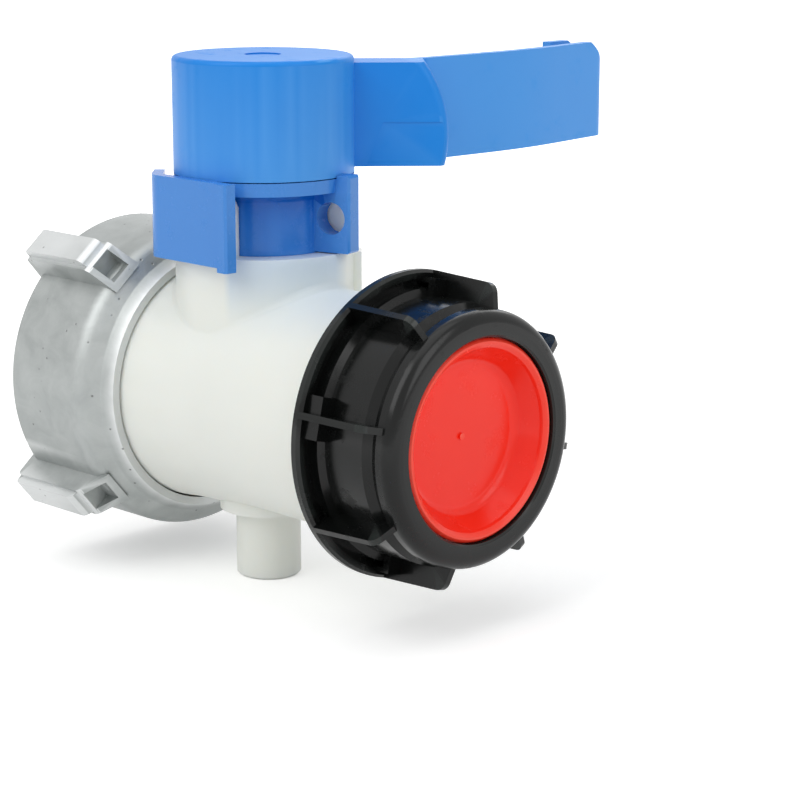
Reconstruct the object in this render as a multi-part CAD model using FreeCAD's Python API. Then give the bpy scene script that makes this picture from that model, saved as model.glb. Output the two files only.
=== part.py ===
"""IBC tank valve: a quarter-turn ball valve for an intermediate bulk container.

Millimetres, +Z up.  The origin is the centre of the inlet union nut's mouth,
+X is the way the liquid flows, and the stem stands up along +Z.  The valve is
drawn shut: the lever points along +Y, square to the flow.

The most skilful shape is the lever: a root box that leaves the drum at a
slant, a plate that runs on from the back of that box, and a finger hook
turned at its tip, all one thin-walled moulding.
"""
import math
import os

import FreeCAD
import Part

V = FreeCAD.Vector
X_AXIS = V(1, 0, 0)
Y_AXIS = V(0, 1, 0)
Z_AXIS = V(0, 0, 1)

# ---------------------------------------------------------------- clearances
GAP = 0.3                # parts that move past each other
SNUG = 0.05              # parts that sit still on each other
RUNNING = 0.08           # the stem in its holes
REACH_THROUGH = 1.0      # how far a cut runs past the face it opens
SMALL_EDGE = 1.0         # corners under this are broken flat, larger ones rounded

# -------------------------------------------------------- driving dimensions
# Ball and the wall round it
BALL_BORE_R = 19.0
BALL_SHOULDER = 8.0      # ball left outside its bore
BALL_PROUD = 4.7         # ball that stands past the back of each seat
CAVITY_SPACE = 1.0
BODY_WALL = 4.0
BARREL_TAPER = 2.0       # barrel's growth from its waist to the union nut

# Seats
SEAT_THICK = 8.3
SEAT_STEP = 0.6          # seat's hole past the ball's bore
SEAT_CONTACT = 50.0      # degrees from the flow axis where the ball touches it
SEAT_RING_WIDTH = 3.0
SEAT_RING_DEPTH = 1.8

# Inlet side
NUT_THREAD_DEPTH = 18.5
INLET_GASKET_THICK = 3.0
INLET_GASKET_R = 25.0
INSERT_RIM = 4.05        # insert's rim, between the gasket and the body
INSERT_PLUG = 11.7       # from that rim to the seat
INSERT_STEP = 1.0        # insert's hole past the ball's bore
INSERT_MOUTH = 2.0       # how much wider that hole is at its mouth
INSERT_RING_X = 4.0      # from the body's face to the insert's O-ring
BODY_FLANGE_THICK = 4.0
BODY_FLANGE_STEP = 2.9   # flange past the barrel, which the nut pulls on

# Union nut
NUT_THREAD_SPACE = 0.6
NUT_RELIEF = 0.8         # groove behind the thread, past the thread's radius
NUT_WALL = 6.0
NUT_LIP_SPACE = 0.4
NUT_LIP_THICK = 7.2
NUT_LUGS = 4
NUT_LUG_TURN = 40.0      # degrees from +Y to the first lug
NUT_LUG_HEIGHT = 8.0
NUT_LUG_OVERHANG = 1.5   # lug past the nut's mouth
NUT_LUG_FOOT = 5.4       # half the width of a lug's foot
NUT_LUG_CREST = 4.2      # and of its crest

# Spout
SPOUT_RUN = 54.0         # stem axis to the back of the cap
SPOUT_R = 29.85          # over the 60 mm thread
SPOUT_WALL = 7.35
SPOUT_SHOULDER = 5.0     # barrel's end to the back of the cap

# Stem and gland
STEM_R = 7.9
STEM_FLANGE_STEP = 2.6
STEM_FLANGE_THICK = 3.3
TANG_WIDTH = 8.0
TANG_DEPTH = 4.6
SQUARE_LENGTH = 22.0
WASHER_THICK = 1.6
POCKET_ROOF = 1.4        # wall between the stem's pocket and the neck's floor
STEM_RING_Z = 5.0        # from that pocket to the lower O-ring
STEM_RING_PITCH = 7.0
STEM_RING_CORD = 0.78    # radius of the cord
STEM_GROOVE_DEPTH = 1.6
STEM_GROOVE_WIDTH = 2.4
GLAND_WALL = 5.1
GLAND_DROP = 2.5         # gland's top below the neck's
BUSH_WALL = 2.55
BUSH_DEPTH = 4.0
BUSH_HEAD = 1.6

# Neck and foot
NECK_WALL = 6.4
NECK_DEPTH = 23.5
NECK_ROOT_FILLET = 2.0
SILL_HEIGHT = 7.0        # neck's floor to the window's sill
WINDOW_TURN = -64.0      # degrees from +X to the window's near end
RIB_TURN = 45.0
RIB_PROUD = 1.9
RIB_WIDTH = 7.0
FOOT_R = 9.1
FOOT_LENGTH = 20.5
PAD_STEP = 4.4
PAD_THICK = 1.0

# Lock collar
SLEEVE_SPACE = 2.2
SLEEVE_WALL = 2.8
SLEEVE_FILLET = 2.5
GUARD_SPACE = 0.4
GUARD_WALL = 2.9
GUARD_RIGHT = 16.6       # guard's ends, along the flow from the stem axis
GUARD_LEFT = -14.5
GUARD_TURN = 223.0       # degrees from +X to the guard's turned-back end
GUARD_DROP = 1.4         # guard's bottom below the window's sill
GUARD_LIP = 4.2
GUARD_LIP_PROUD = 0.7
GUARD_LIP_DROP = 1.0
BRIDGE_HALF = 12.0
SEAL_LUG_TURN = 15.0
SEAL_LUG_THICK = 5.5
SEAL_LUG_PROUD = 4.1     # lug past the neck
SEAL_LUG_RISE = 0.9      # lug's top above the collar's
SEAL_HOLE_R = 4.4
SEAL_HOLE_IN = 5.9       # from the lug's edge to the hole's axis
SEAL_HOLE_UP = 9.6       # from the sill to the hole's axis

# Handle
DRUM_LIFT = 4.2          # from the neck's top to the drum
DRUM_HEIGHT = 31.7
DRUM_WALL = 2.6
DRUM_ROOF = 3.0
DRUM_DIMPLE_R = 5.0
DRUM_DIMPLE_DEPTH = 0.4
DRUM_WEBS = 6
DRUM_WEB = 2.0
DRUM_OPEN = 4.3          # from the drum's bottom to its webs
BOSS_WALL = 3.6
BOSS_HANG = 3.1          # boss below the drum
LEVER_LIFT = 1.3
LEVER_HEIGHT = 28.2
LEVER_PLATE = 3.0
LEVER_REACH = 121.2      # stem axis to the middle of the hook's end
LEVER_HOOK = 4.2         # radius of the hook's two turns
ROOT_TURN = 47.0         # degrees from +X that the root box leaves the drum
ROOT_REACH = 50.0
ROOT_FRONT = -2.0        # root box's outer face, square to its length
ROOT_DEPTH = 13.9
ROOT_WALL = 2.6
ROOT_EDGE = 2.4

# Outlet cap
CAP_LENGTH = 29.0
CAP_WALL = 4.45
CAP_RIM = 6.5            # flange past the cap's barrel
CAP_RIM_THICK = 3.2
CAP_LIP = 3.4            # thickness of the ring that holds the disc in
CAP_LIP_REACH = 2.85     # that ring past the spout's thread
DISC_FLANGE = 2.75
CAP_GASKET_THICK = 2.0
DISH_WALL = 2.3
DISH_DEPTH = 4.2
NUB_R = 0.9
CAP_FINS = 8
FIN_TURN = 32.0          # degrees from +Y to the first fin
FIN_THICK = 1.8
FIN_START = 2.0
TAB_HALF = 5.6
TAB_LENGTH = 6.2

# ------------------------------------------------------- sizes that follow
# Radii about the flow
BALL_R = BALL_BORE_R + BALL_SHOULDER
CAVITY_R = BALL_R + CAVITY_SPACE
BARREL_WAIST_R = CAVITY_R + BODY_WALL
BARREL_R = BARREL_WAIST_R + BARREL_TAPER
BODY_FLANGE_R = BARREL_R + BODY_FLANGE_STEP
NUT_THREAD_R = BODY_FLANGE_R + NUT_THREAD_SPACE
NUT_R = NUT_THREAD_R + NUT_WALL
NUT_LIP_R = BARREL_R + NUT_LIP_SPACE
SEAT_BORE_R = BALL_BORE_R + SEAT_STEP
SEAT_RING_R = CAVITY_R - 0.9
INSERT_BORE_R = BALL_BORE_R + INSERT_STEP
SPOUT_BORE_R = SPOUT_R - SPOUT_WALL
CAP_THREAD_R = SPOUT_R + GAP
CAP_R = CAP_THREAD_R + CAP_WALL
CAP_FLANGE_R = CAP_R + CAP_RIM
CAP_WINDOW_R = SPOUT_R - CAP_LIP_REACH

# Places along the flow
GASKET_X = NUT_THREAD_DEPTH + GAP + SNUG
INSERT_X = GASKET_X + INLET_GASKET_THICK + SNUG
BODY_X = INSERT_X + INSERT_RIM + SNUG
NUT_STEP_X = BODY_X + BODY_FLANGE_THICK + GAP
NUT_LENGTH = NUT_STEP_X + NUT_LIP_THICK
SEAT_BACK = BALL_R - BALL_PROUD
STEM_X = BODY_X + INSERT_PLUG + SEAT_BACK
CAP_X = STEM_X + SPOUT_RUN
CAP_FRONT = CAP_X + CAP_LENGTH
DISC_FRONT = CAP_FRONT - CAP_LIP - GAP
DISC_BACK = DISC_FRONT - DISC_FLANGE
CAP_GASKET_X = DISC_BACK - SNUG - CAP_GASKET_THICK
SPOUT_END_X = CAP_GASKET_X - GAP

# Radii about the stem
STEM_HOLE_R = STEM_R + RUNNING
STEM_FLANGE_R = STEM_R + STEM_FLANGE_STEP
STEM_RING_R = STEM_R - STEM_RING_CORD + 0.06
SQUARE_HALF = (STEM_R - 0.12) / math.sqrt(2)
GLAND_R = STEM_R + GLAND_WALL
BUSH_R = STEM_R + BUSH_WALL
BUSH_HEAD_R = GLAND_R - 0.4
BOSS_R = STEM_R + BOSS_WALL
SLEEVE_BORE_R = GLAND_R + SLEEVE_SPACE
SLEEVE_R = SLEEVE_BORE_R + SLEEVE_WALL
NECK_BORE_R = SLEEVE_R + GAP
NECK_R = NECK_BORE_R + NECK_WALL
DRUM_R = NECK_R
GUARD_Y = -(NECK_R + GUARD_SPACE + GUARD_WALL)
SEAL_LUG_REACH = NECK_R + SEAL_LUG_PROUD

# Heights
FLANGE_Z = BALL_R + GAP
FLANGE_TOP = FLANGE_Z + STEM_FLANGE_THICK
WASHER_Z = FLANGE_TOP + GAP
POCKET_TOP = WASHER_Z + WASHER_THICK + 2 * SNUG
NECK_FLOOR = POCKET_TOP + POCKET_ROOF
NECK_TOP = NECK_FLOOR + NECK_DEPTH
WINDOW_SILL = NECK_FLOOR + SILL_HEIGHT
GLAND_TOP = NECK_TOP - GLAND_DROP
STEM_RINGS = [POCKET_TOP + STEM_RING_Z, POCKET_TOP + STEM_RING_Z + STEM_RING_PITCH]
FOOT_BOTTOM = -(BARREL_WAIST_R + FOOT_LENGTH)
DRUM_BOTTOM = NECK_TOP + DRUM_LIFT
DRUM_TOP = DRUM_BOTTOM + DRUM_HEIGHT
COLLAR_TOP = DRUM_BOTTOM - GAP
BOSS_BOTTOM = DRUM_BOTTOM - BOSS_HANG
WEB_BOTTOM = DRUM_BOTTOM + DRUM_OPEN
SHOULDER_Z = DRUM_BOTTOM + GAP
SQUARE_TOP = SHOULDER_Z + SQUARE_LENGTH
LEVER_BOTTOM = DRUM_BOTTOM + LEVER_LIFT
LEVER_TOP = LEVER_BOTTOM + LEVER_HEIGHT


# ------------------------------------------------------------------ helpers
def rounded_face(points, place):
    """A flat face from (u, v) or (u, v, corner size); place turns u, v to space."""
    corners = [p if len(p) == 3 else (p[0], p[1], 0) for p in points]
    count = len(corners)
    cuts = []
    for i, (u, v, radius) in enumerate(corners):
        here = V(u, v, 0)
        if radius <= 0:
            cuts.append((here, None, here))
            continue
        back = V(*corners[i - 1][:2], 0) - here
        on = V(*corners[(i + 1) % count][:2], 0) - here
        back.normalize()
        on.normalize()
        if radius < SMALL_EDGE:
            cuts.append((here + back * radius, None, here + on * radius))
            continue
        half = back.getAngle(on) / 2
        trim = radius / math.tan(half)
        middle = back + on
        middle.normalize()
        cuts.append((here + back * trim,
                     here + middle * (radius / math.sin(half) - radius),
                     here + on * trim))
    edges = []
    for i, (start, crown, end) in enumerate(cuts):
        if crown is not None:
            edges.append(Part.Arc(place(start.x, start.y), place(crown.x, crown.y),
                                  place(end.x, end.y)).toShape())
        elif (end - start).Length > 1e-6:
            edges.append(Part.LineSegment(place(start.x, start.y),
                                          place(end.x, end.y)).toShape())
        following = cuts[(i + 1) % count][0]
        if (following - end).Length > 1e-6:
            edges.append(Part.LineSegment(place(end.x, end.y),
                                          place(following.x, following.y)).toShape())
    return Part.Face(Part.Wire(edges))


def turned_x(points):
    """Solid of revolution about the flow axis from (x, radius, corner) points."""
    face = rounded_face(points, lambda x, r: V(x, 0, r))
    return face.revolve(V(0, 0, 0), X_AXIS, 360)


def turned_z(points):
    """Solid of revolution about the stem axis from (radius, z, corner) points."""
    face = rounded_face(points, lambda r, z: V(STEM_X + r, 0, z))
    return face.revolve(V(STEM_X, 0, 0), Z_AXIS, 360)


def rod_x(radius, x0, x1):
    return Part.makeCylinder(radius, x1 - x0, V(x0, 0, 0), X_AXIS)


def rod_z(radius, z0, z1):
    return Part.makeCylinder(radius, z1 - z0, V(STEM_X, 0, z0), Z_AXIS)


def ring_x(inner, outer, x0, x1):
    return turned_x([(x0, inner), (x0, outer), (x1, outer), (x1, inner)])


def ring_z(inner, outer, z0, z1):
    return turned_z([(inner, z0), (outer, z0), (outer, z1), (inner, z1)])


def box_at_stem(x0, x1, y0, y1, z0, z1):
    """Box whose x and y are measured from the stem axis."""
    return Part.makeBox(x1 - x0, y1 - y0, z1 - z0, V(STEM_X + x0, y0, z0))


def standing(points, z0, z1):
    """Upright prism on (x, y, corner) points measured from the stem axis."""
    face = rounded_face(points, lambda x, y: V(STEM_X + x, y, z0))
    return face.extrude(V(0, 0, z1 - z0))


def square_bar(half, z0, z1):
    corners = [(-half, -half), (half, -half), (half, half), (-half, half)]
    return standing([(x, y, 0.6) for x, y in corners], z0, z1)


def about_stem(shape, degrees):
    turned = shape.copy()
    turned.rotate(V(STEM_X, 0, 0), Z_AXIS, degrees)
    return turned


def about_flow(shape, degrees):
    turned = shape.copy()
    turned.rotate(V(0, 0, 0), X_AXIS, degrees)
    return turned


def round_pattern(shape, turn, count, first=0.0):
    """Copies of a shape evenly round an axis; turn is about_stem or about_flow."""
    return [turn(shape, first + i * 360.0 / count) for i in range(count)]


def cord_section(centre_r, cord_r, place):
    """Eight-sided section of a seal's cord: (place, radius) points."""
    size = cord_r / math.cos(math.radians(22.5))
    spots = [math.radians(22.5 + 45 * i) for i in range(8)]
    return [(place + size * math.cos(a), centre_r + size * math.sin(a)) for a in spots]


def softened(shape, size, wanted):
    """Round the edges picked by wanted(edge), or break them flat where they are small."""
    edges = [edge for edge in shape.Edges if wanted(edge)]
    if size < SMALL_EDGE:
        return shape.makeChamfer(size, edges)
    return shape.makeFillet(size, edges)


def fused(first, *others):
    return first.multiFuse(list(others)).removeSplitter()


# --------------------------------------------------------------- valve body
def valve_body():
    """Barrel, spout, neck and foot, one moulding."""
    flange_end = BODY_X + BODY_FLANGE_THICK
    shoulder_x = CAP_X - SPOUT_SHOULDER
    outside = turned_x([
        (BODY_X, 0), (BODY_X, BODY_FLANGE_R), (flange_end, BODY_FLANGE_R),
        (flange_end, BARREL_R), (flange_end + 6, BARREL_R),
        (STEM_X + 4, BARREL_WAIST_R, 40), (shoulder_x - 2, BARREL_WAIST_R),
        (shoulder_x, SPOUT_R), (SPOUT_END_X, SPOUT_R), (SPOUT_END_X, 0)])
    neck = rod_z(NECK_R, 0, NECK_TOP)
    rib = box_at_stem(NECK_R - 3, NECK_R + RIB_PROUD, -RIB_WIDTH / 2, RIB_WIDTH / 2,
                      0, WINDOW_SILL - 1)
    pad = rod_z(FOOT_R + PAD_STEP, -BARREL_WAIST_R - PAD_THICK, 0)
    foot = rod_z(FOOT_R, FOOT_BOTTOM, 0)
    foot = softened(foot, 0.8, lambda e: abs(e.BoundBox.ZMax - FOOT_BOTTOM) < 0.01)
    body = fused(outside, neck, about_stem(rib, RIB_TURN), pad, foot)
    body = softened(body, NECK_ROOT_FILLET, is_neck_root)
    for hollow in flow_hollows() + stem_hollows():
        body = body.cut(hollow)
    window = standing(window_plan(), WINDOW_SILL, NECK_TOP + REACH_THROUGH)
    window = window.cut(rod_z(NECK_BORE_R - 1, 0, NECK_TOP + 2 * REACH_THROUGH))
    return body.cut(window).removeSplitter()


def is_neck_root(edge):
    """The long curve where the neck stands on the barrel."""
    box = edge.BoundBox
    on_neck = all(abs(math.hypot(v.X - STEM_X, v.Y) - NECK_R) < 0.05 for v in edge.Vertexes)
    return on_neck and box.ZMin > 5 and box.ZMax < BARREL_R and edge.Length > 20


def flow_hollows():
    """Ball cavity, the way out to the spout, and room for the nut's lip."""
    spout_bore_x = STEM_X + BALL_R + 3
    lip_room = ring_x(BARREL_R + 2 * SNUG, NUT_R, BODY_X + BODY_FLANGE_THICK + 2 * SNUG,
                      NUT_LENGTH + GAP)
    over_lip = Part.makeBox(STEM_X, 60, 25, V(0, -30, 25))
    return [rod_x(CAVITY_R, BODY_X - REACH_THROUGH, STEM_X + SEAT_BACK),
            rod_x(INSERT_BORE_R, STEM_X, spout_bore_x + REACH_THROUGH),
            rod_x(SPOUT_BORE_R, spout_bore_x, SPOUT_END_X + REACH_THROUGH),
            lip_room.common(over_lip)]


def stem_hollows():
    """Stem hole and pocket, bush seat, and the ring round the gland for the sleeve."""
    above = NECK_TOP + REACH_THROUGH
    flare = SLEEVE_FILLET + 3 * GAP
    mouth = turned_z([(GLAND_R, NECK_TOP - flare), (NECK_BORE_R, NECK_TOP - flare),
                      (NECK_BORE_R + flare, NECK_TOP + SNUG), (NECK_BORE_R + flare, above),
                      (GLAND_R, above)])
    return [ring_z(GLAND_R, NECK_BORE_R, NECK_FLOOR, above),
            rod_z(GLAND_R + REACH_THROUGH, GLAND_TOP, above),
            mouth,
            rod_z(STEM_HOLE_R, 0, above),
            rod_z(STEM_FLANGE_R + GAP, 0, POCKET_TOP),
            rod_z(BUSH_R + SNUG, GLAND_TOP - BUSH_DEPTH, above)]


def window_plan():
    """The gap in the neck wall, from the guard's end round to the seal lug."""
    far = NECK_R * 2
    near_end = math.radians(WINDOW_TURN)
    along = math.radians(SEAL_LUG_TURN)
    behind = SEAL_LUG_THICK / 2 + GAP
    side = (-math.sin(along) * behind, math.cos(along) * behind)
    return [(0, 0), (far * math.cos(near_end), far * math.sin(near_end)), (far, -far * 0.4),
            (far * math.cos(along) + side[0], far * math.sin(along) + side[1]), side]


# ------------------------------------------------------- inlet side and seals
def inlet_insert():
    """The ring that holds the ball in and carries the inlet seat."""
    plug_r = CAVITY_R - SNUG
    groove_r = plug_r - 1.85
    groove_x = BODY_X + INSERT_RING_X
    plug_end = STEM_X - SEAT_BACK - 2 * SNUG
    return turned_x([
        (INSERT_X, INSERT_BORE_R + INSERT_MOUTH), (INSERT_X, BODY_FLANGE_R - 2 * SNUG),
        (BODY_X - SNUG, BODY_FLANGE_R - 2 * SNUG), (BODY_X - SNUG, plug_r),
        (groove_x - 1.4, plug_r), (groove_x - 1.4, groove_r), (groove_x + 1.4, groove_r),
        (groove_x + 1.4, plug_r), (plug_end, plug_r), (plug_end, INSERT_BORE_R),
        (plug_end - 3.6, INSERT_BORE_R)])


def insert_o_ring():
    return turned_x(cord_section(CAVITY_R - 1.0, 0.88, BODY_X + INSERT_RING_X))


def inlet_gasket():
    return ring_x(INLET_GASKET_R, BODY_FLANGE_R - GAP, GASKET_X, GASKET_X + INLET_GASKET_THICK)


def ball_seat(side):
    """Seat ring, coned to touch the ball; side is -1 at the inlet, +1 at the outlet."""
    touch = math.radians(SEAT_CONTACT)
    outer = CAVITY_R - 2 * SNUG
    front = SEAT_BACK - SEAT_THICK
    cone_x = (BALL_R + SNUG - SEAT_BORE_R * math.sin(touch)) / math.cos(touch)
    cone_r = (BALL_R + SNUG - front * math.cos(touch)) / math.sin(touch)
    ring_out = SEAT_RING_R + 2 * SNUG
    ring_in = SEAT_RING_R - SEAT_RING_WIDTH - 2 * SNUG
    groove = SEAT_BACK - SEAT_RING_DEPTH - 2 * SNUG
    profile = [(cone_x, SEAT_BORE_R), (front, cone_r), (front, outer), (SEAT_BACK, outer),
               (SEAT_BACK, ring_out), (groove, ring_out), (groove, ring_in),
               (SEAT_BACK, ring_in), (SEAT_BACK, SEAT_BORE_R)]
    return turned_x([(STEM_X + side * x, r) for x, r in profile])


def seat_ring(side):
    """Square seal that presses the seat toward the ball."""
    back = STEM_X + side * (SEAT_BACK - SNUG)
    front = back - side * (SEAT_RING_DEPTH - SNUG)
    return ring_x(SEAT_RING_R - SEAT_RING_WIDTH, SEAT_RING_R, min(back, front),
                  max(back, front))


def ball():
    """Ball with its bore square to the flow, and a slot on top for the stem."""
    sphere = Part.makeSphere(BALL_R, V(STEM_X, 0, 0))
    bore = Part.makeCylinder(BALL_BORE_R, 4 * BALL_R, V(STEM_X, -2 * BALL_R, 0), Y_AXIS)
    half = TANG_WIDTH / 2 + 2 * SNUG
    slot = box_at_stem(-BALL_R, BALL_R, -half, half, BALL_R - TANG_DEPTH - 0.4, BALL_R + 5)
    return sphere.cut(bore).cut(slot)


# ------------------------------------------------------------- stem and gland
def stem():
    """Tang, flange, shaft with two seal grooves, and the square for the handle."""
    profile = [(0, FLANGE_Z), (STEM_FLANGE_R, FLANGE_Z), (STEM_FLANGE_R, FLANGE_TOP),
               (STEM_R, FLANGE_TOP)]
    for z in STEM_RINGS:
        low, high = z - STEM_GROOVE_WIDTH / 2, z + STEM_GROOVE_WIDTH / 2
        profile += [(STEM_R, low), (STEM_R - STEM_GROOVE_DEPTH, low),
                    (STEM_R - STEM_GROOVE_DEPTH, high), (STEM_R, high)]
    shaft = turned_z(profile + [(STEM_R, SHOULDER_Z), (0, SHOULDER_Z)])
    tang_half = STEM_FLANGE_R - 1
    tang = box_at_stem(-tang_half, tang_half, -TANG_WIDTH / 2, TANG_WIDTH / 2,
                       BALL_R - TANG_DEPTH, FLANGE_Z + REACH_THROUGH)
    return fused(shaft, tang, square_bar(SQUARE_HALF, SHOULDER_Z - 1, SQUARE_TOP))


def stem_washer():
    return ring_z(STEM_HOLE_R, STEM_FLANGE_R, WASHER_Z, WASHER_Z + WASHER_THICK)


def stem_o_ring(z):
    section = cord_section(STEM_RING_R, STEM_RING_CORD, z)
    return turned_z([(r, height) for height, r in section])


def stem_bush():
    """Headed bush that centres the stem in the gland's top."""
    head = GLAND_TOP + SNUG
    return turned_z([
        (STEM_HOLE_R, GLAND_TOP - BUSH_DEPTH + SNUG), (BUSH_R, GLAND_TOP - BUSH_DEPTH + SNUG),
        (BUSH_R, head), (BUSH_HEAD_R, head), (BUSH_HEAD_R, GLAND_TOP + BUSH_HEAD),
        (STEM_HOLE_R, GLAND_TOP + BUSH_HEAD)])


# -------------------------------------------------------------------- handle
def hollow_drum():
    """Inverted cup with a dimple on top and webs out to its wall."""
    inner = DRUM_R - DRUM_WALL
    roof = DRUM_TOP - DRUM_ROOF
    drum = turned_z([(0, DRUM_TOP), (DRUM_R, DRUM_TOP, 1.4), (DRUM_R, DRUM_BOTTOM),
                     (inner, DRUM_BOTTOM), (inner, roof), (0, roof)])
    boss = rod_z(BOSS_R, BOSS_BOTTOM, DRUM_TOP - 1)
    web = box_at_stem(BOSS_R - 1, DRUM_R - 1, -DRUM_WEB / 2, DRUM_WEB / 2, WEB_BOTTOM,
                      DRUM_TOP - 1)
    dimple = rod_z(DRUM_DIMPLE_R, DRUM_TOP - DRUM_DIMPLE_DEPTH, DRUM_TOP + REACH_THROUGH)
    return fused(drum, boss, *round_pattern(web, about_stem, DRUM_WEBS)).cut(dimple)


def lever_path():
    """Middle line of the lever's plate from root to hook: (x, y, corner radius)."""
    turn = math.radians(ROOT_TURN)
    back = ROOT_FRONT + ROOT_DEPTH - LEVER_PLATE / 2 + 0.1

    def on_root(reach):
        return (reach * math.cos(turn) - back * math.sin(turn),
                reach * math.sin(turn) + back * math.cos(turn))

    return [(*on_root(DRUM_R - 2.7), 0), (*on_root(ROOT_REACH - 9), 12),
            (22.3, LEVER_REACH - 41.2, 150), (16.2, LEVER_REACH, LEVER_HOOK),
            (7.6, LEVER_REACH, LEVER_HOOK), (8.4, LEVER_REACH - 15.2, 0)]


def ribbon(path, thickness, z0, z1):
    """Upright strip of even thickness along straight runs joined by arcs."""
    half = thickness / 2
    sides = ([], [])
    for i, (x, y, radius) in enumerate(path):
        here = V(x, y, 0)
        into = here - V(*path[i - 1][:2], 0) if i > 0 else None
        out = V(*path[i + 1][:2], 0) - here if i + 1 < len(path) else None
        into = into or out
        out = out or into
        into.normalize()
        out.normalize()
        bend = into.cross(out).z
        across = V(-into.y - out.y, into.x + out.x, 0)
        across.normalize()
        stretch = half / math.sqrt((1 + into.dot(out)) / 2)
        for side, sign in zip(sides, (1, -1)):
            spot = here + across * (stretch * sign)
            turned_in = half if bend * sign > 0 else -half
            side.append((spot.x, spot.y, radius - turned_in if radius else 0))
    return standing(sides[0] + sides[1][::-1], z0, z1)


def arc_ended(near, top_reach, mid_reach, low_reach):
    """Side outline of the lever with a bulging end, as an upright face."""
    middle = LEVER_BOTTOM + LEVER_HEIGHT * 0.48
    low_near, top_near = V(near, 0, LEVER_BOTTOM), V(near, 0, LEVER_TOP)
    low_far, top_far = V(low_reach, 0, LEVER_BOTTOM), V(top_reach, 0, LEVER_TOP)
    edges = [Part.LineSegment(low_near, low_far).toShape(),
             Part.Arc(low_far, V(mid_reach, 0, middle), top_far).toShape(),
             Part.LineSegment(top_far, top_near).toShape(),
             Part.LineSegment(top_near, low_near).toShape()]
    return Part.Face(Part.Wire(edges))


def root_box():
    """Hollow box between the drum and the plate, open underneath."""
    outline = arc_ended(DRUM_R - 10.7, ROOT_REACH - 6.2, ROOT_REACH, ROOT_REACH - 0.6)
    outline.translate(V(0, ROOT_FRONT, 0))
    box = outline.extrude(V(0, ROOT_DEPTH, 0))
    box = softened(box, ROOT_EDGE, lambda e: e.BoundBox.XMin > ROOT_REACH - 8
                   and e.BoundBox.YMax < ROOT_FRONT + 0.1 and e.BoundBox.ZLength > 10)
    box.translate(V(STEM_X, 0, 0))
    core = box_at_stem(10, ROOT_REACH - 9, ROOT_FRONT + ROOT_WALL,
                       ROOT_FRONT + ROOT_DEPTH - LEVER_PLATE + 0.1,
                       LEVER_BOTTOM - REACH_THROUGH, LEVER_TOP - ROOT_WALL)
    return about_stem(box.cut(core).cut(crease()), ROOT_TURN)


def crease():
    """Shallow step low on the root box's outer face."""
    top = LEVER_BOTTOM + 12.0
    below = LEVER_BOTTOM - REACH_THROUGH
    near = DRUM_R + 2.8
    spots = [(near, below), (near + 5, top), (ROOT_REACH + 2, top), (ROOT_REACH + 2, below)]
    face = rounded_face(spots, lambda u, z: V(STEM_X + u, ROOT_FRONT - 0.5, z))
    return face.extrude(V(0, 0.75, 0))


def handle():
    """Drum, root box and hooked plate in one moulding, with the stem's socket."""
    plate = ribbon(lever_path(), LEVER_PLATE, LEVER_BOTTOM, LEVER_TOP)
    tip = arc_ended(0, LEVER_REACH - 6.7, LEVER_REACH + 3.4, LEVER_REACH + 0.6)
    tip.rotate(V(0, 0, 0), Z_AXIS, 90)
    plate = plate.common(tip.extrude(V(2 * STEM_X, 0, 0)))
    shape = fused(hollow_drum(), root_box(), plate)
    shape = shape.cut(ring_z(BOSS_R, DRUM_R - DRUM_WALL, DRUM_BOTTOM - 1, WEB_BOTTOM))
    socket = square_bar(SQUARE_HALF + SNUG, BOSS_BOTTOM - 1, SQUARE_TOP + 0.2)
    entry = rod_z(STEM_R + GAP, BOSS_BOTTOM - 1, SHOULDER_Z + 0.2)
    return shape.cut(socket).cut(entry).removeSplitter()


# --------------------------------------------------------------- lock collar
def lock_collar():
    """Sleeve inside the neck, a guard in front of it and the seal lug beside it."""
    low, ledge = NECK_FLOOR + GAP, NECK_TOP + GAP
    sleeve = turned_z([
        (SLEEVE_BORE_R, low), (SLEEVE_R, low), (SLEEVE_R, ledge, SLEEVE_FILLET),
        (NECK_R, ledge), (NECK_R, COLLAR_TOP), (SLEEVE_BORE_R, COLLAR_TOP)])
    bridge = box_at_stem(-BRIDGE_HALF, BRIDGE_HALF, GUARD_Y + 1, -SLEEVE_R, ledge, COLLAR_TOP)
    collar = fused(sleeve, guard(), guard_lip(), bridge, seal_lug())
    return collar.cut(rod_z(SLEEVE_BORE_R, low - 1, COLLAR_TOP + 5)).removeSplitter()


def guard():
    """Flat skirt in front of the neck, its left end turned back round it."""
    turn = math.radians(GUARD_TURN)
    inside = GUARD_Y + GUARD_WALL
    outer, inner = NECK_R + 5.4, NECK_R + 2.5
    return standing([
        (GUARD_RIGHT, GUARD_Y, 0.5), (GUARD_LEFT, GUARD_Y, 6.0),
        (outer * math.cos(turn), outer * math.sin(turn)),
        (inner * math.cos(turn), inner * math.sin(turn)),
        (GUARD_LEFT + 1.5, inside, 3.0), (GUARD_RIGHT, inside)],
        WINDOW_SILL - GUARD_DROP, SHOULDER_Z)


def guard_lip():
    face = GUARD_Y - GUARD_LIP_PROUD
    left = GUARD_RIGHT - GUARD_LIP
    return standing([(left, face, 0.6), (GUARD_RIGHT, face, 0.6),
                     (GUARD_RIGHT, GUARD_Y + GUARD_WALL), (left, GUARD_Y + GUARD_WALL)],
                    WINDOW_SILL - GUARD_DROP - GUARD_LIP_DROP, SHOULDER_Z)


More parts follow.
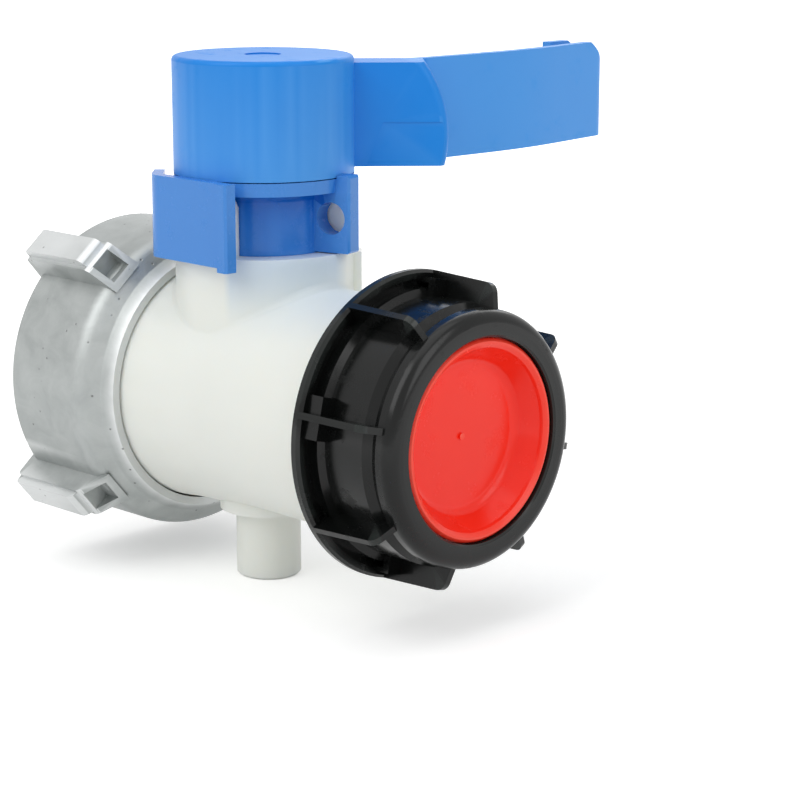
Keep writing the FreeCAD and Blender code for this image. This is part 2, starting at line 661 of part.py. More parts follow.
def seal_lug():
    """Upright ear with a hole for a wire seal."""
    half = SEAL_LUG_THICK / 2
    lug = box_at_stem(SLEEVE_R - 1.5, SEAL_LUG_REACH, -half, half, WINDOW_SILL + GAP,
                      COLLAR_TOP + SEAL_LUG_RISE)
    lug = softened(lug, 0.6, lambda e: e.BoundBox.XMin > STEM_X + SEAL_LUG_REACH - 0.01)
    hole_at = V(STEM_X + SEAL_LUG_REACH - SEAL_HOLE_IN, -SEAL_LUG_THICK,
                WINDOW_SILL + SEAL_HOLE_UP)
    lug = lug.cut(Part.makeCylinder(SEAL_HOLE_R, 2 * SEAL_LUG_THICK, hole_at, Y_AXIS))
    lug = lug.cut(rod_z(DRUM_R + GAP, COLLAR_TOP, COLLAR_TOP + 5))
    return about_stem(lug, SEAL_LUG_TURN)


# ----------------------------------------------------------------- union nut
def union_nut():
    """Cast nut: thread at the mouth, a relief behind it, and a lip on the body's flange."""
    relief_r = NUT_THREAD_R + NUT_RELIEF
    shell = turned_x([
        (0, NUT_THREAD_R), (0, NUT_R, 1.2), (NUT_LENGTH - 7, NUT_R, 5.5),
        (NUT_LENGTH - 3.2, NUT_R - 4.9, 1.5), (NUT_LENGTH, NUT_R - 6.9),
        (NUT_LENGTH, NUT_LIP_R), (NUT_STEP_X, NUT_LIP_R), (NUT_STEP_X, relief_r),
        (NUT_THREAD_DEPTH, relief_r), (NUT_THREAD_DEPTH, NUT_THREAD_R)])
    lugs = round_pattern(nut_lug(), about_flow, NUT_LUGS, NUT_LUG_TURN)
    return fused(shell, *lugs)


def nut_lug():
    """One cast ear, standing toward +Y: a wide foot, a narrower crest, a pocket in its nose."""
    base = NUT_R - 2.0

    def bar(reach, half, end, nose):
        face = rounded_face([(-NUT_LUG_OVERHANG, base), (-NUT_LUG_OVERHANG, reach, 1.2),
                             (end - nose, reach, 3.0), (end, base)],
                            lambda x, r: V(x, r, -half))
        return face.extrude(V(0, 0, 2 * half))

    crest_r = NUT_R + NUT_LUG_HEIGHT
    foot = bar(crest_r - 2.2, NUT_LUG_FOOT, NUT_LENGTH - 4.5, 7.0)
    crest = bar(crest_r, NUT_LUG_CREST, NUT_LENGTH - 6.5, 7.5)
    pocket_half = NUT_LUG_CREST - 0.8
    pocket = Part.makeBox(7.5, NUT_LUG_HEIGHT + 8, 2 * pocket_half,
                          V(NUT_LENGTH - 11, NUT_R - 0.3, -pocket_half))
    return fused(foot, crest).cut(pocket)


# ---------------------------------------------------------------- outlet cap
def outlet_cap():
    """Screw cap: flange, barrel with grip fins, and a ring round the disc."""
    seat_r = CAP_THREAD_R - 0.4
    tab_r = CAP_R + 2.0
    lip_back = CAP_FRONT - CAP_LIP
    shell = turned_x([
        (CAP_X, CAP_THREAD_R), (CAP_X, CAP_FLANGE_R, 0.8),
        (CAP_X + CAP_RIM_THICK, CAP_FLANGE_R, 0.8),
        (CAP_X + CAP_RIM_THICK, CAP_FLANGE_R - 2.4),
        (CAP_X + FIN_START + 0.2, CAP_FLANGE_R - 2.4), (CAP_X + FIN_START + 0.2, tab_r),
        (CAP_X + 5.6, tab_r), (CAP_X + 6.4, CAP_R), (CAP_FRONT - 9.4, CAP_R),
        (CAP_FRONT - 7.4, CAP_R - 1.7), (CAP_FRONT - 5.4, CAP_R - 0.7),
        (CAP_FRONT - 0.2, CAP_R - 0.7, 3.4), (CAP_FRONT, CAP_WINDOW_R + 2.6),
        (CAP_FRONT, CAP_WINDOW_R, 0.5), (lip_back, CAP_WINDOW_R), (lip_back, seat_r),
        (CAP_GASKET_X, seat_r), (CAP_GASKET_X, CAP_THREAD_R)])
    fins = round_pattern(cap_fin(), about_flow, CAP_FINS, FIN_TURN)
    tabs = round_pattern(fin_tab(), about_flow, CAP_FINS // 2, FIN_TURN + 360.0 / CAP_FINS)
    return fused(shell, *(fins + tabs))


def cap_fin():
    """Grip fin standing toward +Y."""
    start, nose = CAP_X + FIN_START, CAP_FRONT - 3.4
    face = rounded_face([
        (start, CAP_R - 2), (start, CAP_FLANGE_R), (nose - 1.8, CAP_FLANGE_R - 0.9, 3.2),
        (nose, CAP_R - 0.9), (nose, CAP_R - 2.6)],
        lambda x, r: V(x, r, -FIN_THICK / 2))
    return face.extrude(V(0, 0, FIN_THICK))


def fin_tab():
    """Small cross tab that ties a main fin to the flange."""
    start, end = CAP_X + FIN_START, CAP_X + FIN_START + TAB_LENGTH
    face = rounded_face([
        (start, CAP_R + 3.0), (start, CAP_R + 4.4), (end, CAP_R + 4.4), (end, CAP_R - 1),
        (end - 2.2, CAP_R - 1), (end - 2.2, CAP_R + 3.0)],
        lambda x, r: V(x, r, -TAB_HALF))
    return face.extrude(V(0, 0, 2 * TAB_HALF))


def cap_disc():
    """Dished sealing plate that shows through the cap, with a moulding nub at its centre."""
    flange_r = CAP_THREAD_R - 0.8
    rim_r = CAP_WINDOW_R - 0.4
    rim_x = CAP_FRONT - 0.8
    dish_back = DISC_BACK - DISH_DEPTH
    dish_front = dish_back + DISH_WALL
    dish_r = SPOUT_BORE_R - DISH_WALL
    disc = turned_x([
        (dish_back, 0), (dish_back, dish_r - 0.8), (DISC_BACK, SPOUT_BORE_R - 0.7),
        (DISC_BACK, flange_r), (DISC_FRONT, flange_r), (DISC_FRONT, rim_r),
        (rim_x, rim_r, 0.8), (rim_x, rim_r - 2.2, 0.8), (rim_x - 1.6, rim_r - 2.8),
        (dish_front, dish_r, 3.0), (dish_front, 0)])
    return fused(disc, rod_x(NUB_R, dish_front - 1, dish_front + 0.6))


def cap_gasket():
    return ring_x(SPOUT_BORE_R + 0.5, CAP_THREAD_R - 0.9, CAP_GASKET_X,
                  CAP_GASKET_X + CAP_GASKET_THICK)


PARTS = {
    "valve_body": valve_body,
    "inlet_insert": inlet_insert,
    "insert_o_ring": insert_o_ring,
    "inlet_gasket": inlet_gasket,
    "union_nut": union_nut,
    "ball": ball,
    "seat_inlet": lambda: ball_seat(-1),
    "seat_outlet": lambda: ball_seat(1),
    "seat_ring_inlet": lambda: seat_ring(-1),
    "seat_ring_outlet": lambda: seat_ring(1),
    "stem": stem,
    "stem_washer": stem_washer,
    "stem_o_ring_lower": lambda: stem_o_ring(STEM_RINGS[0]),
    "stem_o_ring_upper": lambda: stem_o_ring(STEM_RINGS[1]),
    "stem_bush": stem_bush,
    "handle": handle,
    "lock_collar": lock_collar,
    "outlet_cap": outlet_cap,
    "cap_disc": cap_disc,
    "cap_gasket": cap_gasket,
}

os.makedirs("parts", exist_ok=True)
for node, build in PARTS.items():
    shape = build()
    solids = shape.Solids
    if len(solids) != 1 or not shape.isValid():
        print("CHECK", node, len(solids), shape.isValid())
    solids[0].exportStep("parts/" + node + ".step")
    box = solids[0].BoundBox
    print(f"{node:20s} {solids[0].Volume / 1000:8.2f} cm3  "
          f"x {box.XMin:7.1f} {box.XMax:7.1f}  y {box.YMin:7.1f} {box.YMax:7.1f}  "
          f"z {box.ZMin:7.1f} {box.ZMax:7.1f}")
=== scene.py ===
# %% [markdown]
# # An IBC tank valve, dressed for the studio
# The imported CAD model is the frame: twenty solids on six bodies, already in
# place and in metres.  Blender's part of the work is what CAD leaves out: the
# union nut's thread, the finish of every surface, the light and the camera.
# Nothing from the CAD is moved or reshaped.  The thread is built beside it and
# rides on the nut's body, so that it goes along when the nut turns.

# %% Load the frame
import math

import bmesh
import bpy
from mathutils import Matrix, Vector


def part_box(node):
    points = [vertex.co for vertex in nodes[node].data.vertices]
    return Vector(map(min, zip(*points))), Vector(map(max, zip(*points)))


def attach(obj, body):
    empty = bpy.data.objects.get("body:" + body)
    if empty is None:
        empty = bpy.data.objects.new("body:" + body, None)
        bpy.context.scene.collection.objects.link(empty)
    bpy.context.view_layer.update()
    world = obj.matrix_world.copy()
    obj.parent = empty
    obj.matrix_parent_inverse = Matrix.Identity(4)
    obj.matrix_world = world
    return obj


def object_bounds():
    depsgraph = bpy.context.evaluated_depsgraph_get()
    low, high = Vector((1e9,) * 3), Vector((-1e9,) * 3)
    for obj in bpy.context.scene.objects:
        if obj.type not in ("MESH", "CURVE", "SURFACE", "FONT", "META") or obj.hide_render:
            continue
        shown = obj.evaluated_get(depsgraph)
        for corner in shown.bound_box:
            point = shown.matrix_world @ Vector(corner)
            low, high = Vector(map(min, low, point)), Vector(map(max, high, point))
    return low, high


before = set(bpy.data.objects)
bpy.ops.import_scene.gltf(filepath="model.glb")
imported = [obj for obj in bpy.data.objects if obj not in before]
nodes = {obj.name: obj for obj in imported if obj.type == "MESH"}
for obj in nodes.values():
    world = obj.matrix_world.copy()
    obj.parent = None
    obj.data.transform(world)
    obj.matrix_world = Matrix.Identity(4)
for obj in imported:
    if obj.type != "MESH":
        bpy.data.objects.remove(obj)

cad_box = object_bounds()
MM = 0.001
print("solids", len(nodes), "box in mm", [round(c / MM, 1) for p in cad_box for c in p])

# %% [markdown]
# ## Colours and nodes
# Colour pickers give sRGB hex values, while Blender's sockets want linear
# light, so one function translates.  A second one adds any node to a material,
# with its settings and the links that feed it.  A third opens a new material
# with a Principled shader, the one shader that covers plastic, metal and rubber.
# Texture scales are per metre here, so a helper turns a size in millimetres
# into the scale that draws it.

# %% Helpers for materials
def linear(hex_colour):
    """sRGB hex such as #2F80E0 as linear red, green, blue and alpha."""
    shares = [int(hex_colour[i:i + 2], 16) / 255 for i in (1, 3, 5)]
    light = [s / 12.92 if s <= 0.04045 else ((s + 0.055) / 1.055) ** 2.4 for s in shares]
    return (*light, 1.0)


def add(tree, kind, settings=None, values=None, links=None):
    """A new node: its settings, its sockets' values, and the sockets that others feed."""
    made = tree.nodes.new(kind)
    for name, value in (settings or {}).items():
        setattr(made, name, value)
    for socket, value in (values or {}).items():
        made.inputs[socket].default_value = value
    for socket, source in (links or {}).items():
        tree.links.new(source, made.inputs[socket])
    return made


def open_material(name, values):
    """A material with a Principled shader: (tree, shader, object coordinates)."""
    material = bpy.data.materials.new(name)
    material.use_nodes = True
    tree = material.node_tree
    tree.nodes.clear()
    shader = add(tree, "ShaderNodeBsdfPrincipled", values=values)
    add(tree, "ShaderNodeOutputMaterial", links={"Surface": shader.outputs["BSDF"]})
    place = add(tree, "ShaderNodeTexCoord").outputs["Object"]
    return tree, shader, place


def grain(size_mm):
    """Texture scale that draws features about this many millimetres across."""
    return 1.0 / (size_mm * MM)


# ShaderNodeMix keeps its colour sockets under numbers: share, first, second, result.
SHARE, FIRST, SECOND, MIXED = 0, 6, 7, 2
print("a middle grey in linear light", round(linear("#808080")[0], 4))

# %% [markdown]
# ## Moulded plastic
# Blue lever, black cap and red disc are injection moulded.  Such a surface
# copies the tool: a fine spark-eroded grain, slow waves where the melt cooled
# unevenly, and a few dull scuffs from handling.  Edges are painted lighter,
# partly as wear and partly as a painted highlight where they would catch light.
# All of them share one recipe, and what differs is colour, gloss and grain.
# The grain in a real tool is under 0.1 mm, too fine to show here, so it is
# drawn a few times coarser and very shallow.

# %% Recipe for moulded plastic
SHEEN = 0.3                 # a moulded skin mirrors less than a perfect one
DULLED = 0.25               # roughness that a scuff adds
FLOW_MM, SCUFF_MM, SPARK_MM = 22, 7, 0.45   # waves of the melt, scuffs, tool's grain


def moulded(name, body, deep, edge_wear_and_highlight, rough, ior, relief=0.02):
    """Moulded plastic: body and deep are its colour and slow shading; the last colour is painted
    on its edges, as wear and as a painted highlight.
    """
    tree, shader, place = open_material(name, {"IOR": ior, "Specular IOR Level": SHEEN})
    waves = add(tree, "ShaderNodeTexNoise", values={"Scale": grain(FLOW_MM), "Detail": 3.0},
                links={"Vector": place})
    base = add(tree, "ShaderNodeMix", {"data_type": "RGBA"},
               {FIRST: linear(body), SECOND: linear(deep)}, {SHARE: waves.outputs["Fac"]})
    # Convex edges are painted lighter: partly wear, partly a painted highlight.
    bends = add(tree, "ShaderNodeNewGeometry").outputs["Pointiness"]
    edges = add(tree, "ShaderNodeMapRange", values={"From Min": 0.515, "From Max": 0.60,
                                                    "To Max": 0.55}, links={"Value": bends})
    edged = add(tree, "ShaderNodeMix", {"data_type": "RGBA"}, {SECOND: linear(edge_wear_and_highlight)},
                {SHARE: edges.outputs["Result"], FIRST: base.outputs[MIXED]})
    rubs = add(tree, "ShaderNodeTexNoise", values={"Scale": grain(SCUFF_MM), "Detail": 6.0,
                                                   "Roughness": 0.7}, links={"Vector": place})
    dull = add(tree, "ShaderNodeMapRange", values={"From Min": 0.56, "From Max": 0.72,
                                                   "To Min": rough, "To Max": rough + DULLED},
               links={"Value": rubs.outputs["Fac"]})
    fine = add(tree, "ShaderNodeTexNoise", values={"Scale": grain(SPARK_MM), "Detail": 2.0},
               links={"Vector": place})
    slow = add(tree, "ShaderNodeBump", values={"Strength": 0.12, "Distance": 0.3 * MM},
               links={"Height": waves.outputs["Fac"]})
    bump = add(tree, "ShaderNodeBump", values={"Strength": 0.5, "Distance": relief * MM},
               links={"Height": fine.outputs["Fac"], "Normal": slow.outputs["Normal"]})
    tree.links.new(edged.outputs[MIXED], shader.inputs["Base Color"])
    tree.links.new(dull.outputs["Result"], shader.inputs["Roughness"])
    tree.links.new(bump.outputs["Normal"], shader.inputs["Normal"])
    print("material", name, "roughness", rough, "IOR", ior)
    return bpy.data.materials[name]


# %% [markdown]
# ## Six moulded finishes
# Each line is one plastic: its name, its colour, its deeper shade, its edge
# colour (wear and painted highlight), its roughness and its IOR.  The lever's
# tool was left satin, and the tools for the collar, the cap and the disc were
# polished, so those shine more.

# %% Moulded plastics
blue_lever = moulded("Blue polyethylene, satin tool", "#128AE4", "#0A7CD8", "#5FA8EE", 0.42, 1.51)
blue_collar = moulded("Blue polypropylene, polished tool", "#0A6CCC", "#085FBE", "#5BA0E8",
                      0.24, 1.49, relief=0.01)
black_cap = moulded("Black polypropylene, polished tool", "#0D0F0E", "#080909", "#343937",
                    0.2, 1.49, relief=0.008)
red_disc = moulded("Red polypropylene, polished tool", "#FF3320", "#F62A18", "#FF6E58",
                   0.22, 1.49, relief=0.006)
ball_white = moulded("Natural polypropylene, turned ball", "#D9DDD8", "#CDD2CC", "#EEF0EE",
                     0.3, 1.49)
stem_grey = moulded("Glass-filled nylon, grey", "#6D7276", "#5C6165", "#9AA0A4", 0.45, 1.53)

# %% [markdown]
# ## Natural polyethylene
# The body is HDPE without pigment.  Light goes a few millimetres into it and
# comes out again, so its shadows are soft and its thin places glow.  Subsurface
# scattering does that.  Its radius is a real length, about 4 mm for this plastic.
# Under the neck's window the blue sleeve shines through the wall, and that glow
# is painted into the colour: a band there is tinted by its height and its
# bearing from the stem.  Both are places on the object, so the painted band
# stays where it is from every side.

# %% Natural HDPE
hdpe_tree, hdpe, hdpe_place = open_material("Natural HDPE, moulded", {
    "IOR": 1.54, "Subsurface Weight": 0.75, "Subsurface Scale": 4 * MM,
    "Subsurface Radius": (1.0, 0.92, 0.85)})
milk = add(hdpe_tree, "ShaderNodeTexNoise", values={"Scale": grain(28), "Detail": 2.0},
           links={"Vector": hdpe_place})
milky = add(hdpe_tree, "ShaderNodeMix", {"data_type": "RGBA"},
            {FIRST: linear("#F3F5EE"), SECOND: linear("#ECEFE8")},
            {SHARE: milk.outputs["Fac"]})

# %% Painted glow under the window, by height
split = add(hdpe_tree, "ShaderNodeSeparateXYZ", links={"Vector": hdpe_place})
SILL_Z = 41.0               # window's sill, in millimetres
under_sill = add(hdpe_tree, "ShaderNodeMapRange", {"interpolation_type": "SMOOTHSTEP"},
                 {"From Min": (SILL_Z - 21) * MM, "From Max": SILL_Z * MM, "To Max": 0.5},
                 {"Value": split.outputs["Z"]})
over_sill = add(hdpe_tree, "ShaderNodeMapRange", values={
    "From Min": (SILL_Z + 0.5) * MM, "From Max": (SILL_Z + 3) * MM, "To Min": 1.0, "To Max": 0.0},
    links={"Value": split.outputs["Z"]})
by_height = add(hdpe_tree, "ShaderNodeMath", {"operation": "MULTIPLY"},
                links={0: under_sill.outputs["Result"], 1: over_sill.outputs["Result"]})

# %% Painted glow under the window, by bearing
stem_low, stem_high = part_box("stem")
from_stem = add(hdpe_tree, "ShaderNodeMath", {"operation": "SUBTRACT"},
                {1: (stem_low.x + stem_high.x) / 2}, {0: split.outputs["X"]})
bearing = add(hdpe_tree, "ShaderNodeMath", {"operation": "ARCTAN2"},
              links={0: split.outputs["Y"], 1: from_stem.outputs["Value"]})
BAND = [math.radians(turn) for turn in (-69, -64, 8, 22)]   # round the stem, from +X
past_left = add(hdpe_tree, "ShaderNodeMapRange",
                values={"From Min": BAND[0], "From Max": BAND[1]},
                links={"Value": bearing.outputs["Value"]})
past_right = add(hdpe_tree, "ShaderNodeMapRange", values={
    "From Min": BAND[2], "From Max": BAND[3], "To Min": 1.0, "To Max": 0.0},
    links={"Value": bearing.outputs["Value"]})
by_bearing = add(hdpe_tree, "ShaderNodeMath", {"operation": "MULTIPLY"},
                 links={0: past_left.outputs["Result"], 1: past_right.outputs["Result"]})
# Share of the painted glow: where the blue sleeve's light would come through the wall.
painted_glow_share = add(hdpe_tree, "ShaderNodeMath", {"operation": "MULTIPLY"},
           links={0: by_height.outputs["Value"], 1: by_bearing.outputs["Value"]})

# %% The waxy skin
# Blue painted into the base colour as the sleeve's glow through the wall.
painted_glow_colour = add(hdpe_tree, "ShaderNodeMix", {"data_type": "RGBA"}, {SECOND: linear("#A6C4E4")},
             {SHARE: painted_glow_share.outputs["Value"], FIRST: milky.outputs[MIXED]})
cloud = add(hdpe_tree, "ShaderNodeTexNoise", values={"Scale": grain(5), "Detail": 5.0},
            links={"Vector": hdpe_place})
wax = add(hdpe_tree, "ShaderNodeMapRange", values={"To Min": 0.34, "To Max": 0.5},
          links={"Value": cloud.outputs["Fac"]})
skin = add(hdpe_tree, "ShaderNodeBump", values={"Strength": 0.35, "Distance": 0.05 * MM},
           links={"Height": cloud.outputs["Fac"]})
hdpe_tree.links.new(painted_glow_colour.outputs[MIXED], hdpe.inputs["Base Color"])
hdpe_tree.links.new(wax.outputs["Result"], hdpe.inputs["Roughness"])
hdpe_tree.links.new(skin.outputs["Normal"], hdpe.inputs["Normal"])
natural_hdpe = bpy.data.materials["Natural HDPE, moulded"]
print("material", natural_hdpe.name, "scatter", hdpe.inputs["Subsurface Scale"].default_value, "m")

# %% [markdown]
# ## Die-cast aluminium
# The union nut is a pressure casting that was tumbled, not polished.  The skin
# is bright grey with cloudy patches where the melt met the cold tool, small
# dark pits, and edges rubbed brighter.  It is a bare metal, so metallic is 1
# and the colour is what it reflects.

# %% Die-cast aluminium
cast_tree, cast, cast_place = open_material("Aluminium, die cast and tumbled", {"Metallic": 1.0})
patches = add(cast_tree, "ShaderNodeTexNoise", values={"Scale": grain(9), "Detail": 8.0,
                                                       "Roughness": 0.62, "Distortion": 0.6},
              links={"Vector": cast_place})
skin_colour = add(cast_tree, "ShaderNodeMix", {"data_type": "RGBA"},
                  {FIRST: linear("#8C9190"), SECOND: linear("#BCBFBE")},
                  {SHARE: patches.outputs["Fac"]})
bends = add(cast_tree, "ShaderNodeNewGeometry").outputs["Pointiness"]
rubbed = add(cast_tree, "ShaderNodeMapRange", values={"From Min": 0.51, "From Max": 0.58,
                                                      "To Max": 0.8}, links={"Value": bends})
bright = add(cast_tree, "ShaderNodeMix", {"data_type": "RGBA"}, {SECOND: linear("#DADCDC")},
             {SHARE: rubbed.outputs["Result"], FIRST: skin_colour.outputs[MIXED]})

# %% Pits and the tumbled skin
cells = add(cast_tree, "ShaderNodeTexVoronoi", values={"Scale": grain(4.5)},
            links={"Vector": cast_place})
pits = add(cast_tree, "ShaderNodeMapRange", values={"From Min": 0.02, "From Max": 0.10,
                                                    "To Min": 1.0, "To Max": 0.0},
           links={"Value": cells.outputs["Distance"]})
pitted = add(cast_tree, "ShaderNodeMix", {"data_type": "RGBA"}, {SECOND: linear("#6E706F")},
             {SHARE: pits.outputs["Result"], FIRST: bright.outputs[MIXED]})
sand = add(cast_tree, "ShaderNodeTexNoise", values={"Scale": grain(0.9), "Detail": 4.0,
                                                    "Roughness": 0.7},
           links={"Vector": cast_place})
tumbled = add(cast_tree, "ShaderNodeMapRange", values={"To Min": 0.38, "To Max": 0.6},
              links={"Value": patches.outputs["Fac"]})
dents = add(cast_tree, "ShaderNodeBump", values={"Strength": 0.5, "Distance": 0.25 * MM},
            links={"Height": patches.outputs["Fac"]})
pores = add(cast_tree, "ShaderNodeBump", {"invert": True}, {"Strength": 0.6,
                                                            "Distance": 0.2 * MM},
            {"Height": pits.outputs["Result"], "Normal": dents.outputs["Normal"]})
sanded = add(cast_tree, "ShaderNodeBump", values={"Strength": 0.5, "Distance": 0.08 * MM},
             links={"Height": sand.outputs["Fac"], "Normal": pores.outputs["Normal"]})
cast_tree.links.new(pitted.outputs[MIXED], cast.inputs["Base Color"])
cast_tree.links.new(tumbled.outputs["Result"], cast.inputs["Roughness"])
cast_tree.links.new(sanded.outputs["Normal"], cast.inputs["Normal"])
die_cast = bpy.data.materials["Aluminium, die cast and tumbled"]
print("material", die_cast.name, "nodes", len(cast_tree.nodes))

# %% [markdown]
# ## Seals
# The seats are PTFE, chalk white and waxy.  The O-rings are black NBR and the
# flat gaskets a grey food-grade rubber.  Rubber is matt with a faint bloom, so
# the moulded recipe fits it with more roughness and no gloss.

# %% Seals
white_ptfe = moulded("PTFE, turned", "#F1F1EE", "#E7E7E3", "#F8F8F6", 0.4, 1.38)
black_rubber = moulded("NBR rubber, moulded", "#191A1B", "#101112", "#2E3031", 0.62, 1.52)
grey_rubber = moulded("EPDM rubber, die cut", "#8B8F8E", "#7B807F", "#A5A9A8", 0.66, 1.52)

# %% [markdown]
# ## Dress the solids
# A CAD solid arrives with one empty material slot.  Clearing it and putting a
# finish in changes nothing of its shape, and a table of names keeps the choice
# for all twenty in one place, like a maker's parts list.

# %% Give each solid its material
FINISHES = {
    "valve_body": natural_hdpe, "inlet_insert": natural_hdpe, "union_nut": die_cast,
    "handle": blue_lever, "lock_collar": blue_collar, "outlet_cap": black_cap,
    "cap_disc": red_disc, "ball": ball_white, "stem": stem_grey, "stem_bush": white_ptfe,
    "stem_washer": white_ptfe, "seat_inlet": white_ptfe, "seat_outlet": white_ptfe,
    "seat_ring_inlet": black_rubber, "seat_ring_outlet": black_rubber,
    "stem_o_ring_lower": black_rubber, "stem_o_ring_upper": black_rubber,
    "insert_o_ring": black_rubber, "inlet_gasket": grey_rubber, "cap_gasket": grey_rubber}
for node_name, finish in FINISHES.items():
    nodes[node_name].data.materials.clear()
    nodes[node_name].data.materials.append(finish)
print("finished", len(FINISHES), "of", len(nodes), "solids")

# %% [markdown]
# ## The union nut's thread
# The nut screws on the tank's outlet with a coarse rounded thread, cast with
# the nut.  It is a low ridge that climbs round the bore, so it can be made as a
# chain of four-point sections, each turned and moved on a little from the last.
# Building it from points gives the exact pitch, and thin sections at both ends
# let it run out into the wall as a cast thread does.

# %% Recipe for a thread
STEPS = 72                  # sections in one turn
RUN_OUT = 18                # sections over which the ridge rises from the wall
SUNK = 0.2                  # mm that its foot lies in the wall, so that no slit shows


def thread(name, bore, crest, start, end, pitch, foot, top):
    """Ridge that stands inward from bore to crest, climbing along +X, in millimetres."""
    count = round((end - start - foot) / pitch * STEPS)
    mesh = bmesh.new()
    rings = []
    for i in range(count + 1):
        turn = 2 * math.pi * i / STEPS
        middle = start + foot / 2 + i / STEPS * pitch
        rise = min(1.0, (i + 1) / RUN_OUT, (count + 1 - i) / RUN_OUT)
        tip = bore + (crest - bore) * rise
        section = [(middle - foot / 2, bore + SUNK), (middle - top / 2, tip),
                   (middle + top / 2, tip), (middle + foot / 2, bore + SUNK)]
        rings.append([mesh.verts.new((x * MM, r * math.cos(turn) * MM, r * math.sin(turn) * MM))
                      for x, r in section])
    for one, two in zip(rings, rings[1:]):
        for j in range(len(one)):
            k = (j + 1) % len(one)
            mesh.faces.new((one[j], two[j], two[k], one[k]))
    mesh.faces.new(rings[0])
    mesh.faces.new(rings[-1][::-1])
    bmesh.ops.recalc_face_normals(mesh, faces=mesh.faces)
    made = bpy.data.meshes.new(name)
    mesh.to_mesh(made)
    mesh.free()
    piece = bpy.data.objects.new(name, made)
    bpy.context.scene.collection.objects.link(piece)
    print(name, "turns", round(count / STEPS, 2), "faces", len(made.polygons))
    return piece



# %% The nut's thread
NUT_BORE, NUT_CREST = 37.5, 36.0          # radii in the nut
THREAD_START, THREAD_END, PITCH = 2.0, 17.5, 6.0
THREAD_FOOT, THREAD_TOP = 3.6, 1.2        # width of the ridge at the wall and at its crest
nut_thread = thread("union_nut_thread", NUT_BORE, NUT_CREST, THREAD_START, THREAD_END, PITCH,
                    THREAD_FOOT, THREAD_TOP)
nut_thread.data.materials.append(die_cast)
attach(nut_thread, "nut")

# %% [markdown]
# ## Studio
# A plain pale floor under the foot, and a white room round it.  The world is
# plain white to the camera and to reflections and softer to everything else,
# so the background is white without more light on the valve.  The floor is
# lifted for the camera in the same way, more where it is far from the lamps,
# and that leaves the valve's shadow on it.

# %% Floor
floor_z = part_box("valve_body")[0].z
floor_mesh = bpy.data.meshes.new("floor")
FLOOR_HALF = 6.0            # metres
CORNERS = [(-1, -1), (1, -1), (1, 1), (-1, 1)]
floor_mesh.from_pydata([(x * FLOOR_HALF, y * FLOOR_HALF, floor_z) for x, y in CORNERS],
                       [], [(0, 1, 2, 3)])
floor = bpy.data.objects.new("floor", floor_mesh)
bpy.context.scene.collection.objects.link(floor)
print("floor at", round(floor_z / MM, 1), "mm")

# %% Paint on the floor

pale = bpy.data.materials.new("Pale floor, painted board")
pale.use_nodes = True
pale_tree = pale.node_tree
pale_tree.nodes.clear()
paint = add(pale_tree, "ShaderNodeBsdfDiffuse", values={"Color": linear("#F3F3F3")})
seen = add(pale_tree, "ShaderNodeLightPath").outputs
direct = add(pale_tree, "ShaderNodeMath", {"operation": "MAXIMUM"},
             links={0: seen["Is Camera Ray"], 1: seen["Is Glossy Ray"]})
floor_place = add(pale_tree, "ShaderNodeTexCoord").outputs["Object"]
away = add(pale_tree, "ShaderNodeVectorMath", {"operation": "LENGTH"}, links={0: floor_place})
further = add(pale_tree, "ShaderNodeMapRange", {"interpolation_type": "SMOOTHSTEP"},
              {"From Min": 0.15, "From Max": 0.7, "To Min": 0.34, "To Max": 0.9},
              {"Value": away.outputs["Value"]})
shown = add(pale_tree, "ShaderNodeMath", {"operation": "MAXIMUM"},
            links={0: direct.outputs[0], 1: seen["Is Transmission Ray"]})
lift = add(pale_tree, "ShaderNodeMath", {"operation": "MULTIPLY"},
           links={0: shown.outputs[0], 1: further.outputs["Result"]})
glow = add(pale_tree, "ShaderNodeEmission", links={"Strength": lift.outputs[0]})
both = add(pale_tree, "ShaderNodeAddShader", links={0: paint.outputs[0], 1: glow.outputs[0]})
add(pale_tree, "ShaderNodeOutputMaterial", links={"Surface": both.outputs[0]})
floor_mesh.materials.append(pale)


# %% World
world = bpy.data.worlds.new("White studio")
bpy.context.scene.world = world
world.use_nodes = True
world_tree = world.node_tree
world_tree.nodes.clear()
ray = add(world_tree, "ShaderNodeLightPath").outputs
ray_direct = add(world_tree, "ShaderNodeMath", {"operation": "MAXIMUM"},
                 links={0: ray["Is Camera Ray"], 1: ray["Is Glossy Ray"]})
ray_shown = add(world_tree, "ShaderNodeMath", {"operation": "MAXIMUM"},
                links={0: ray_direct.outputs[0], 1: ray["Is Transmission Ray"]})
AMBIENT = 0.45              # light from all round, where 1 would light a card white
level = add(world_tree, "ShaderNodeMapRange", values={"To Min": AMBIENT, "To Max": 1.0},
            links={"Value": ray_shown.outputs[0]})
sky = add(world_tree, "ShaderNodeBackground", values={"Color": linear("#FFFFFF")},
          links={"Strength": level.outputs["Result"]})
add(world_tree, "ShaderNodeOutputWorld", links={"Surface": sky.outputs[0]})
print("ambient light", AMBIENT)

# %% [markdown]
# ## Lamps
# Large soft boxes at an even, plain level.  Each is given by its direction from
# the valve, and its power follows from how bright it makes a white card.

# %% Lamps
low, high = cad_box
centre = (low + high) / 2


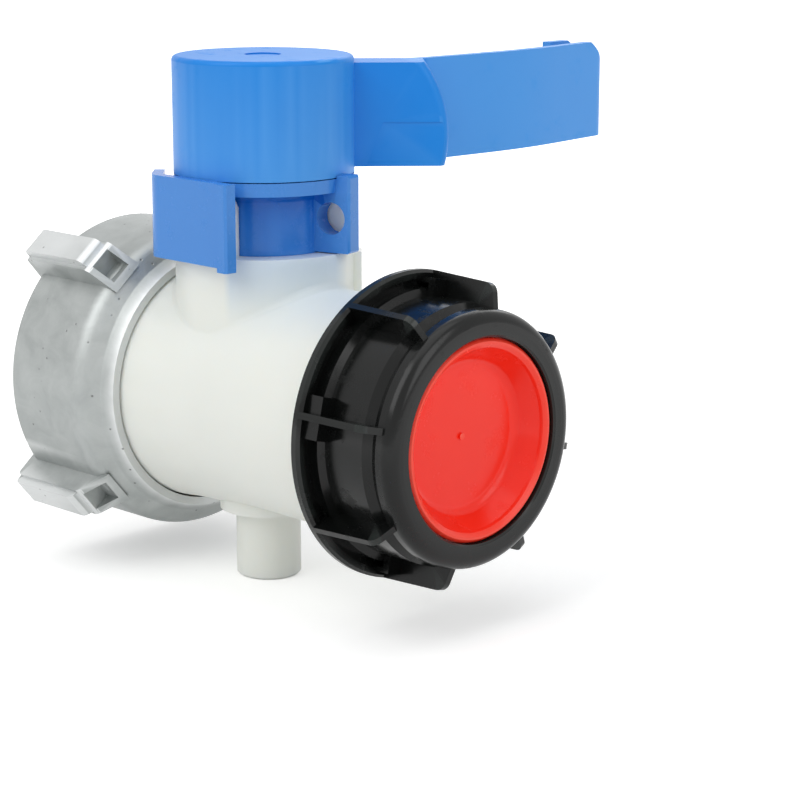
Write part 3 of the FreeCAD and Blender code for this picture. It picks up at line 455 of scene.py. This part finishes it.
def from_valve(azimuth, elevation, distance):
    """A point this far from the valve's middle; azimuth 0 is in front, along -Y."""
    a, e = math.radians(azimuth), math.radians(elevation)
    return centre + distance * Vector((math.sin(a) * math.cos(e), -math.cos(a) * math.cos(e),
                                       math.sin(e)))


SOFT_BOXES = {              # azimuth, elevation, distance m, width m, height m, level
    "key_left": (-5, 42, 1.3, 0.9, 0.9, 0.36),
    "fill_right": (95, 30, 1.4, 0.8, 1.0, 0.25),
    "top": (30, 85, 1.2, 1.0, 1.0, 0.19),
    "back": (210, 35, 1.5, 1.0, 0.8, 0.17),
}
for lamp_name, (azimuth, elevation, distance, width, height, card) in SOFT_BOXES.items():
    lamp = bpy.data.lights.new(lamp_name, "AREA")
    lamp.shape, lamp.size, lamp.size_y = "RECTANGLE", width, height
    lamp.energy = card * math.pi * math.pi * distance ** 2
    holder = bpy.data.objects.new(lamp_name, lamp)
    holder.location = from_valve(azimuth, elevation, distance)
    holder.rotation_mode = "QUATERNION"
    holder.rotation_quaternion = (centre - holder.location).to_track_quat("-Z", "Y")
    bpy.context.scene.collection.objects.link(holder)
    print(lamp_name, round(lamp.energy, 1), "W")

# %% [markdown]
# ## Camera
# The camera stands off to the right of the front and a little above, so that it
# sees both the outlet and the side of the lever.  A long lens from further away
# keeps round parts round, as in a catalogue picture.

# %% Camera
LENS_MM, SENSOR_MM = 108.0, 36.0
camera_data = bpy.data.cameras.new("camera")
camera_data.lens, camera_data.sensor_width = LENS_MM, SENSOR_MM
camera = bpy.data.objects.new("camera", camera_data)
azimuth, elevation = math.radians(45), math.radians(13)
back = Vector((math.sin(azimuth) * math.cos(elevation),
               -math.cos(azimuth) * math.cos(elevation), math.sin(elevation)))
camera.location = (0.5482, -0.4357, 0.1482)
camera.rotation_mode = "QUATERNION"
camera.rotation_quaternion = (-back).to_track_quat("-Z", "Y")
bpy.context.scene.collection.objects.link(camera)
bpy.context.scene.camera = camera
bpy.context.scene.view_settings.view_transform = "Standard"
print("camera", [round(c / MM) for c in camera.location], "mm, lens", camera_data.lens)
